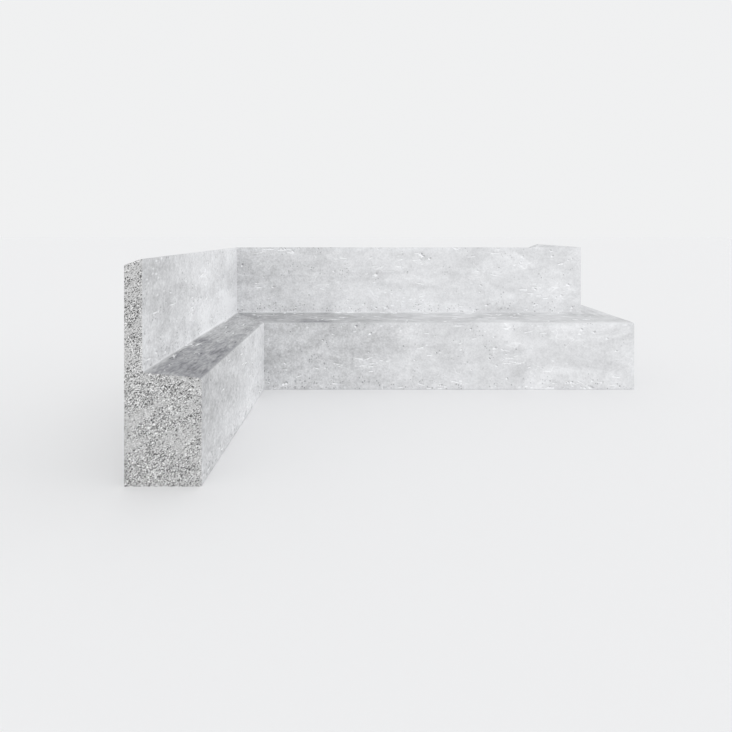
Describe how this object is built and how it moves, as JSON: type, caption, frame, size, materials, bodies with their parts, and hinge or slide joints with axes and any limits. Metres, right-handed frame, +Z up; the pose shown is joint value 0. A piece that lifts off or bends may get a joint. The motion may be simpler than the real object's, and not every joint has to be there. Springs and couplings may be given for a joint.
{
  "type": "wall moulding",
  "caption": "Stepped wall moulding in pale porous concrete look, with an upstand over a sloped ledge, mitred around an inside and an outside wall corner.",
  "frame": {"origin": "centre of the front run's wall face, level with the line where the ledge meets the upstand", "axes": "+X along the front wall to the right, +Y into the front wall, +Z up"},
  "size_m": [0.696, 0.585, 0.235],
  "materials": {
    "coated_granulate": "matte"
  },
  "bodies": {
    "root": {"left_run": "coated_granulate", "front_run": "coated_granulate", "right_return": "coated_granulate"}
  },
  "joints": []
}
